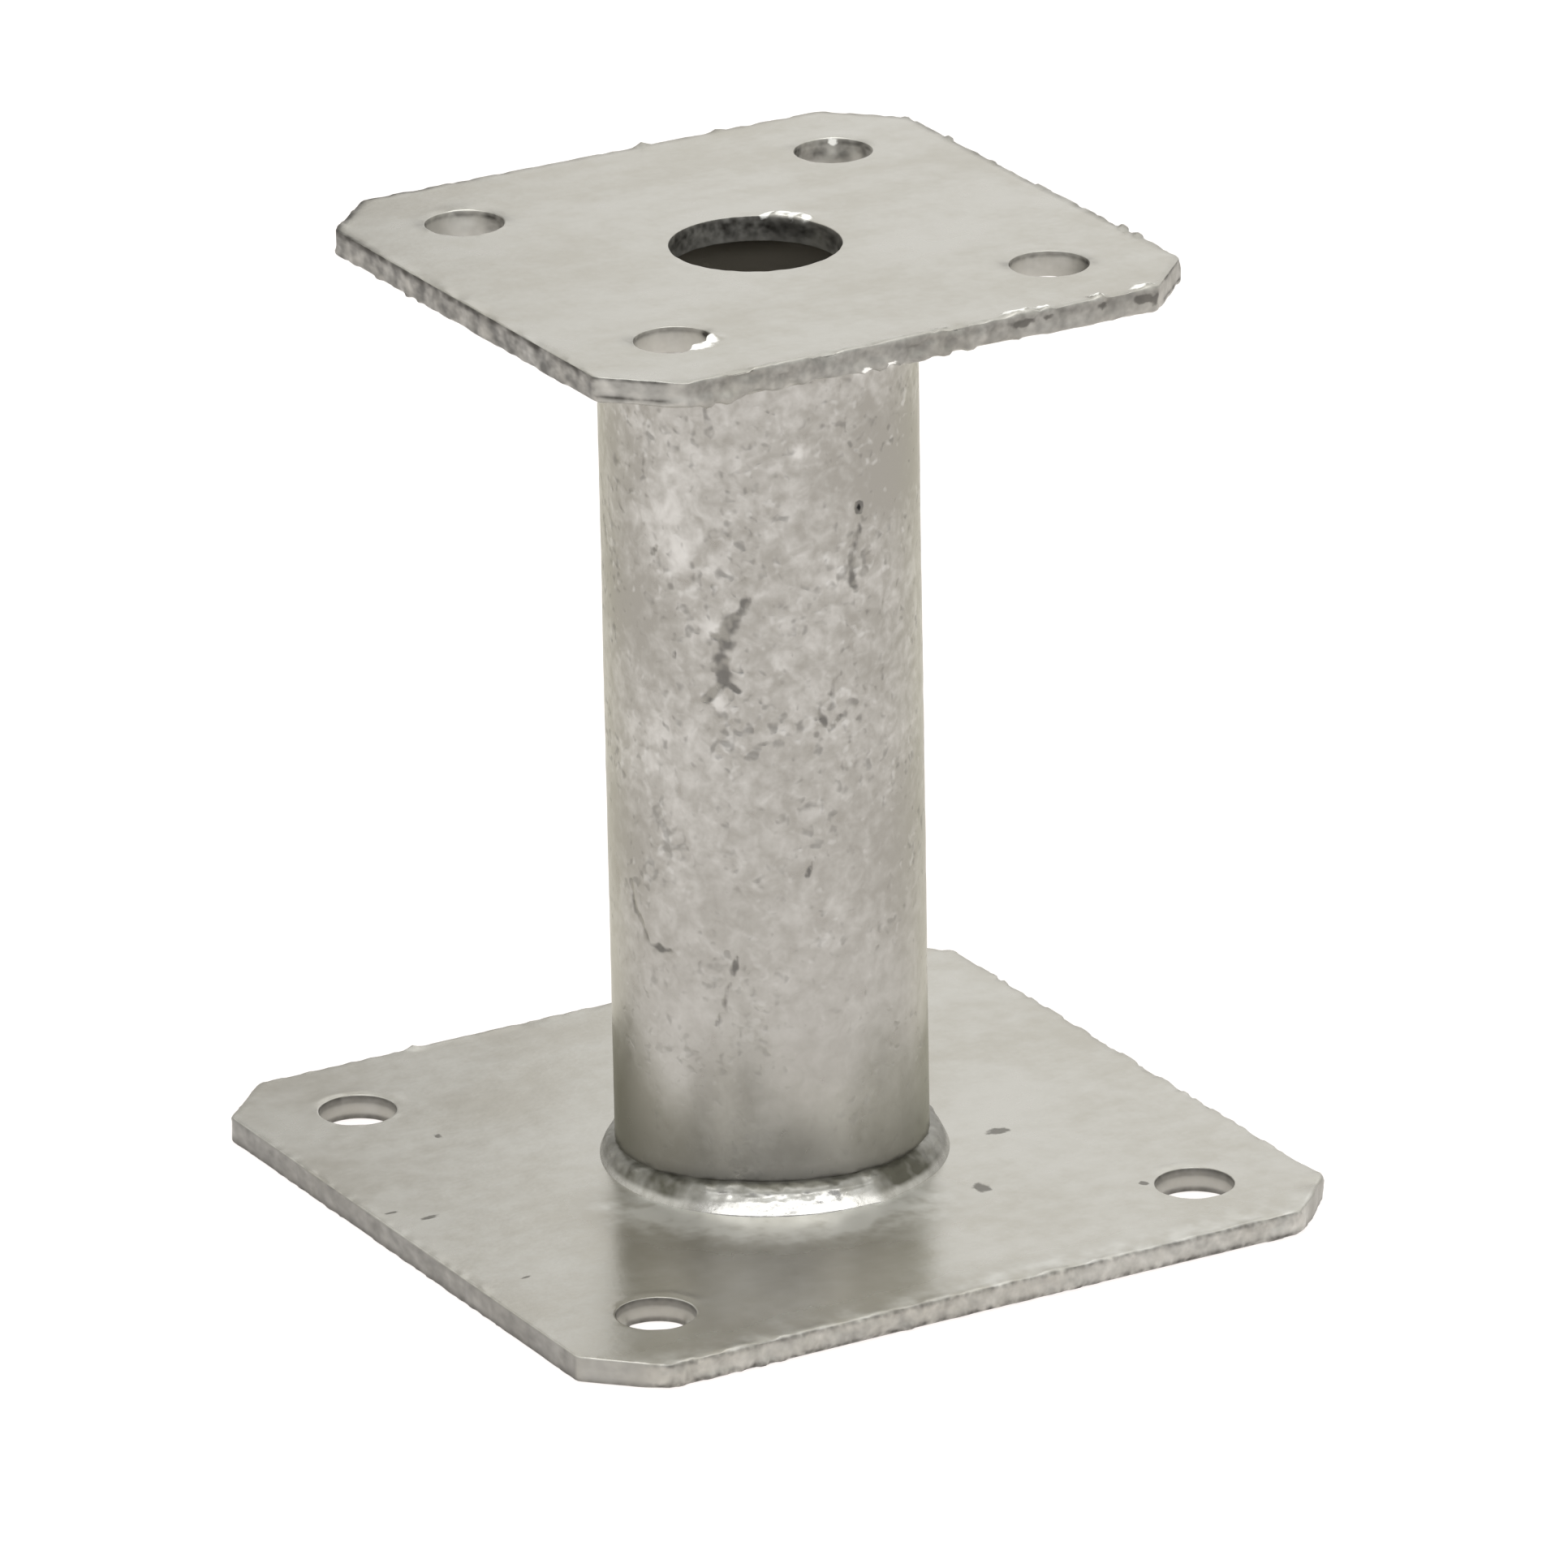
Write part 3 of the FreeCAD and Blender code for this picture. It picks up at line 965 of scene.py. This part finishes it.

# The weld at the tube's foot, here because the tube's painted shade runs along it. Each place is degrees
# round the tube, and there the bead's reach over the plate, its leg up the tube, its dullness with
# painted shade and how dark the painted shade in its crease is.
baseBead = {
    "places": [
        (0, 3.0, 3.4, 0.7, 0.3),
        (30, 2.9, 3.3, 0.6, 0.2),
        (90, 2.7, 3.2, 0.5, 0.2),
        (132, 2.3, 3.0, 0.6, 0.3),
        (150, 2.3, 3.0, 0.7, 0.4),
        (161, 2.5, 3.0, 0.8, 0.5),
        (176, 2.9, 3.1, 0.9, 0.6),
        (193, 3.3, 3.4, 1.0, 0.8),
        (205, 3.6, 3.8, 1.1, 1.0),
        (213, 3.7, 4.1, 0.9, 1.0),
        (221, 3.8, 4.3, 0.4, 1.0),
        (230, 3.9, 4.5, 0.1, 0.9),
        (262, 3.9, 4.4, 0.05, 0.5),
        (270, 3.8, 4.2, 0.2, 0.7),
        (277, 3.7, 4.0, 0.9, 0.9),
        (284, 3.6, 3.9, 1.3, 0.6),
        (297, 3.4, 3.8, 1.2, 0.5),
        (310, 3.3, 3.8, 0.8, 0.4),
        (333, 3.0, 3.6, 0.65, 0.3),
    ],
    "creviceShadeAngle": 240.5,  # degrees round the tube where the painted shade in the crevice above the bead is darkest
    "lapAngle": 277.0,
    "lapWidth": 4.0,  # degrees
    "lapReach": 0.4,
    "lapLeg": 0.3,
    "ripplePitch": 2.4,
    "rippleHeight": 0.012,
    "lumpSize": 2.6,
    "fineLumpSize": 1.2,
    "lumpHeight": 0.26,
    "creaseShadePatches": 2.2,
    "columns": 720,
    "rows": 44,
    "smoothing": 20,  # columns to either side, over which the places run into each other
    "sunk": [(0.0, -0.25), (-0.4, -0.25), (-0.4, 0.0)],  # the back of the section, in plate and tube
}


def alongBead(bead, what, degrees):
    # one of the numbers that the bead gives at its places, joined up evenly between them
    angles, *columns = zip(*bead["places"])
    values = dict(zip(("reach", "leg", "dullAndShade", "creaseShade"), columns))
    return np.interp(degrees, angles, values[what], period=360.0)


def makeTubeZinc():
    # dull zinc: soft patches, fine grain, clustered dark pits with bright flecks, dark veins, painted
    # highlights, and painted shade on the sides, at the foot and above the weld
    look = tubeLook
    material, shader = newMaterial("tubeZinc", {"Metallic": 1.0, "Specular Tint": look["tint"]})
    place = placeOn(material)
    clouds = place.stretch((1.0, 1.0, 0.6)).noise(look["cloudSize"])
    patches = place.noise(look["patchSize"], 2.0, 0.5)
    grain = place.noise(look["grainSize"])
    loud = 1.0 - 0.75 * place.mark("calm")
    fine = patches.swing(look["patchSwing"]) + grain.swing(look["grainSwing"])
    tone = 0.5 + clouds.swing(look["cloudSwing"]) + loud * fine
    # painted highlights and painted shade, with some tone
    tone = tone + look["paintedLightAndToneStrength"] * place.mark("paintedLightAndTone")
    colour = tone.step(0.0, 1.3).blend(look["dark"], look["light"])
    clusters = place.noise(look["clusterSize"], 1.0) + 0.20 * place.mark("pitting")
    pits = (place.noise(look["pitSize"], 1.0, 0.3) + clusters.swing(0.5)).step(0.60, 0.84)
    mirrored = place.stretch((-1.0, 1.0, 1.0))  # so that the flecks don't follow the pits' noise
    flecks = (mirrored.noise(look["fleckSize"], 1.0) + clusters.swing(0.45)).step(0.64, 0.84)
    veins = (place.mark("veins") + place.noise(look["veinSize"], 1.0).swing(0.9)).step(0.38, 0.75)
    colour = (look["fleckStrength"] * flecks * loud).blend(colour, look["fleck"])
    colour = (look["pitStrength"] * pits * loud).blend(colour, look["pit"])
    veinTone = place.noise(look["veinToneSize"], 1.0).step(0.4, 0.65).blend(look["pit"], look["vein"])
    colour = (look["veinStrength"] * veins).blend(colour, veinTone)
    colour = place.mark("veins").step(1.1, 1.5).blend(colour, look["hollow"])
    # painted shade: darker towards the foot
    colour = (look["footShadeStrength"] * place.mark("foot")).blend(colour, look["foot"])
    # painted shade in the crevice just above the weld
    colour = (place.mark("toeShade") * (0.2 + 0.7 * patches)).blend(colour, look["pit"])
    hidden = place.mark("hidden")
    colour = hidden.blend(colour, look["hidden"])
    roughness = look["roughness"] + patches.swing(0.12) + 0.10 * pits + 0.35 * hidden
    height = loud * (0.5 * patches + 0.2 * grain - 0.6 * pits + 0.5 * flecks) - 0.6 * veins
    feed(shader, colour, roughness, height, look["depth"])
    return material


tubeZinc = makeTubeZinc()


def lineMark(angle, height, radius, line, width):
    # 1 on a line of (degrees, height) places on the tube, falling evenly to 0 at three widths
    nearest = np.full(len(angle), np.inf)
    at = np.stack([angle * radius, height], axis=1)
    spots = np.array(line, float) * (math.pi / 180.0 * radius, 1.0)
    for start, end in zip(spots, spots[1:]):
        run = end - start
        share = np.clip(((at - start) @ run) / (run @ run), 0.0, 1.0)
        nearest = np.minimum(nearest, np.linalg.norm(at - start - share[:, None] * run, axis=1))
    return np.clip(1.0 - nearest / (3.0 * width), 0.0, 1.0)


def spotMark(angle, height, radius, spots):
    # the sum over (degrees, height, reach, strength) spots of strength * exp(-(distance / reach)^2);
    # a spot without a strength has 1
    mark = np.zeros(len(angle))
    for degrees, level, reach, *strength in spots:
        away = np.hypot((angle - math.radians(degrees)) * radius, height - level)
        mark += (strength or [1.0])[0] * bell(away, reach)
    return mark


def tubePiece():
    # a wall revolved about the axis: up the outside, down the inside, and closed at head and foot
    low, high = boxOf("column_tube")
    foot, head, radius = low[2], high[2], high[0]
    rowHeight = np.concatenate([np.linspace(foot, head, tube["outerRows"]),
                                np.linspace(head, foot, tube["innerRows"])])
    rowRadius = np.concatenate([np.full(tube["outerRows"], radius),
                                np.full(tube["innerRows"], radius - tube["wall"])])
    turn = np.arange(tube["columns"]) * 2.0 * math.pi / tube["columns"]
    rows, around = np.meshgrid(np.arange(len(rowHeight)), turn, indexing="ij")
    points = ringPoints(rowRadius[rows], around, rowHeight[rows])
    quads = gridQuads(len(rowHeight), tube["columns"], closeRows=True, closeColumns=True)[:, ::-1]
    normals = pointNormals(points, quads)
    angle = around.ravel()
    height = points[:, 2]
    onOutside = (rows.ravel() < tube["outerRows"]) * 1.0

    rough = 0.3 + 0.7 * smoothStep(height, foot + tube["smoothFoot"], foot + tube["roughFrom"])
    rise = rough * tube["waveHeight"] * softNoise(points * (1.0, 1.0, 0.35), tube["waveSize"], 51)
    rise += rough * tube["pitHeight"] * softNoise(points, tube["pitSize"], 52)
    veins = np.zeros(len(points))
    for width, strength, line in tube["veins"]:
        veins = np.maximum(veins, strength * lineMark(angle, height, radius, line, width))
    veins *= onOutside
    rise -= tube["veinDepth"] * smoothStep(veins, 0.3, 1.0)
    weldTop = foot + alongBead(baseBead, "leg", np.degrees(angle))
    # painted shade just above the bead, darkest on the near side
    toeShade = 1.0 - smoothStep(height, weldTop + 0.2, weldTop + 2.2)
    toeShade *= smoothStep(np.cos(angle - math.radians(baseBead["creviceShadeAngle"])), 0.4, 0.85)
    # painted shade over the foot
    footShade = 1.0 - smoothStep(height, foot + tube["footShadeFrom"], foot + tube["footShadeTo"])
    marks = {
        "veins": veins,
        "pitting": spotMark(angle, height, radius, tube["pitting"]) * onOutside,
        "paintedLightAndTone": spotMark(angle, height, radius, tube["paintedLightAndTone"]) * onOutside,
        "foot": footShade * onOutside,
        "toeShade": toeShade * onOutside,
        "calm": np.interp(height - foot, *zip(*tube["calm"])),
        "hidden": 1.0 - onOutside,
    }
    inside = smoothStep(height, foot, foot + tube["endReach"])
    inside *= 1.0 - smoothStep(height, head - tube["endReach"], head)
    points = points + normals * (rise * inside * onOutside)[:, None]
    addPiece("columnTubeZinc", "column_tube", tubeZinc, points, quads, marks)


tubePiece()


# Welds

weldLook = {
    "light": tinted(0.70, 1.01, 0.96),
    "dark": tinted(0.48, 1.02, 0.94),
    # dark weld colour for dull zinc and painted shade
    "dullAndShade": tinted(0.105, 1.03, 0.80),
    "roughness": 0.15,
    "dullRoughness": 0.30,  # what dull places add to it
    "fleckSize": 2.0,
    "fleckSwing": 1.3,
    "grainSize": 0.6,
    "grainSwing": 0.5,
    "dullShadeSize": 2.4,
    "dullShadeSwing": 0.8,
    "depth": 0.04,
}

# The bead's section from the tube's wall to the plate: shares of the reach and of the leg.
beadSection = [
    (0.0, 0.95),
    (0.13, 0.93),
    (0.27, 0.885),
    (0.40, 0.82),
    (0.513, 0.733),
    (0.592, 0.63),
    (0.672, 0.526),
    (0.751, 0.422),
    (0.834, 0.281),
    (0.917, 0.14),
    (1.0, 0.0),
]

topBead = dict(baseBead, lapAngle=46.0, places=[
    (0, 3.4, 3.8, 0.5, 0.5),
    (50, 3.9, 4.2, 0.5, 0.5),
    (95, 4.0, 4.4, 0.5, 0.5),
    (150, 3.6, 4.0, 0.5, 0.5),
    (200, 3.2, 3.6, 0.5, 0.5),
    (260, 2.9, 3.4, 0.5, 0.5),
    (310, 3.0, 3.5, 0.5, 0.5),
])


def makeWeldZinc():
    # zinc over a weld: bright, with small flecks, and dull and darkened by painted shade in patches
    # where the bead's mark says so
    look = weldLook
    material, shader = newMaterial("weldZinc", {"Metallic": 1.0})
    place = placeOn(material)
    flecks = place.noise(look["fleckSize"], 3.0)
    grain = place.noise(look["grainSize"])
    tone = 0.5 + flecks.swing(look["fleckSwing"]) + grain.swing(look["grainSwing"])
    colour = tone.step(0.1, 0.9).blend(look["dark"], look["light"])
    dullAndShade = place.mark("dullAndShade")
    patches = place.noise(look["dullShadeSize"], 1.5).swing(look["dullShadeSwing"])
    # dull zinc, and painted shade in the crevice, on the upper half, along the crease and on the bead's
    # sides
    colour = (dullAndShade * (0.85 + patches)).blend(colour, look["dullAndShade"])
    roughness = look["roughness"] + flecks.swing(0.2) + look["dullRoughness"] * dullAndShade
    feed(shader, colour, roughness, 0.5 * flecks + 0.5 * grain, look["depth"])
    return material


weldZinc = makeWeldZinc()


def smoothCurve(corners, count):
    # a curve through the corners: cubic pieces whose slopes come from each corner's neighbours
    corners = np.array(corners, float)
    before = 2.0 * corners[:1] - corners[1:2]
    after = 2.0 * corners[-1:] - corners[-2:-1]
    padded = np.concatenate([before, corners, after])
    place = np.linspace(0.0, len(corners) - 1.0, count)
    first = np.minimum(place.astype(int), len(corners) - 2)
    t = (place - first)[:, None]
    a, b, c, d = (padded[first + step] for step in range(4))
    return 0.5 * (2.0 * b + (c - a) * t + (2.0 * a - 5.0 * b + 4.0 * c - d) * t ** 2
                  + (3.0 * b - a - 3.0 * c + d) * t ** 3)


def roundTheTube(bead, what, turn):
    # one of the bead's numbers round the tube, smoothed by a bell-shaped window
    joined = alongBead(bead, what, np.degrees(turn))
    side = bead["smoothing"]
    window = np.hanning(2 * side + 1)
    padded = np.concatenate([joined[-side:], joined, joined[:side]])
    return np.convolve(padded, window / window.sum(), "valid")


def sectionNormals(flat):
    # out of the bead, in the plane of each section: the section's run turned by a quarter
    run = np.gradient(flat, axis=0)
    normals = np.stack([-run[:, :, 1], run[:, :, 0]], axis=2)
    return normals / np.linalg.norm(normals, axis=2, keepdims=True)


def beadRise(bead, turn, across, places, radius, seed):
    # lumps less ripples, a ripple being 1.5 * |share of its pitch - 0.35|, bowed across the weld; across
    # goes from 0 at the tube to 1 at the plate, and the crest is highest on the upper half
    ripples = turn * (radius + 3.0) / bead["ripplePitch"]
    phase = ripples + 0.3 * np.sin(turn * 7.0) + 1.1 * (across - 0.5) ** 2
    ripple = np.abs((phase % 1.0) - 0.35) * 1.5
    lumps = softNoise(places, bead["lumpSize"], seed)
    lumps += 0.6 * softNoise(places, bead["fineLumpSize"], seed + 1)
    crest = np.sin(math.pi * across) ** 0.7 * (1.0 - 0.8 * smoothStep(across, 0.45, 0.75))
    return crest * (bead["lumpHeight"] * lumps.reshape(phase.shape) - bead["rippleHeight"] * ripple)


def beadDullnessAndShade(bead, turn, across, places, seed):
    # dullness and painted shade, the most of: what the bead gives at its places, painted shade in the
    # crevice against the tube, painted shade on the upper half and uneven painted shade along a crease
    # half-way down
    dullAndShade = roundTheTube(bead, "dullAndShade", turn) * (1.0 - 0.6 * smoothStep(across, 0.7, 0.9))
    deepShade = smoothStep(np.cos(turn - math.radians(bead["creviceShadeAngle"])), 0.3, 0.8)
    creviceShade = (0.35 + 0.65 * deepShade) * (1.0 - smoothStep(across, 0.03, 0.12))
    upperHalfShade = 0.72 * (1.0 - smoothStep(across, 0.44, 0.52))
    patches = softNoise(places, bead["creaseShadePatches"], seed + 2).reshape(dullAndShade.shape)
    creaseShade = np.clip(bell(across - 0.52, 0.06) * (0.8 + 1.2 * patches), 0.0, 1.0)
    creaseShade = creaseShade * roundTheTube(bead, "creaseShade", turn)
    return np.maximum(np.maximum(dullAndShade, creviceShade), np.maximum(upperHalfShade, creaseShade))


def beadPiece(name, node, bead, seed, foot, direction):
    # the bead's section, scaled to its reach over the plate and its leg up the tube, carried round the
    # tube and raised by ripples and lumps along its normals; closed inside the tube and the plate
    radius = boxOf("column_tube")[1][0]
    turn = np.arange(bead["columns"]) * 2.0 * math.pi / bead["columns"]
    lapDistance = (np.degrees(turn) - bead["lapAngle"] + 180.0) % 360.0 - 180.0
    lap = bell(lapDistance, bead["lapWidth"])
    reach = roundTheTube(bead, "reach", turn) + bead["lapReach"] * lap
    leg = roundTheTube(bead, "leg", turn) + bead["lapLeg"] * lap
    section = smoothCurve(beadSection, bead["rows"])
    across = np.linspace(0.0, 1.0, bead["rows"])[:, None]
    flat = np.stack([section[:, :1] * reach, section[:, 1:] * leg], axis=2)
    places = ringPoints(radius + flat[:, :, 0], turn, flat[:, :, 1])
    rise = beadRise(bead, turn, across, places, radius, seed)
    dullAndShade = beadDullnessAndShade(bead, turn, across, places, seed)
    flat = flat + sectionNormals(flat) * rise[:, :, None]

    sunk = bead["sunk"]
    closing = np.zeros((len(sunk), bead["columns"], 2)) + np.array(sunk)[:, None, :]
    closing[0, :, 0] = flat[-1, :, 0]
    closing[-1, :, 1] = flat[0, :, 1]
    flat = np.concatenate([flat, closing])
    points = ringPoints(radius + flat[:, :, 0], turn, foot + direction * flat[:, :, 1])
    quads = gridQuads(len(flat), bead["columns"], closeRows=True, closeColumns=True)
    if direction < 0:
        quads = quads[:, ::-1]
    marks = {"dullAndShade": np.concatenate([dullAndShade, np.zeros((len(sunk), bead["columns"]))]).ravel()}
    addPiece(name, node, weldZinc, points, quads, marks)


beadPiece("baseWeldZinc", "base_weld", baseBead, 71, boxOf("base_plate")[1][2], 1.0)
beadPiece("topWeldZinc", "top_weld", topBead, 81, boxOf("top_plate")[0][2], -1.0)
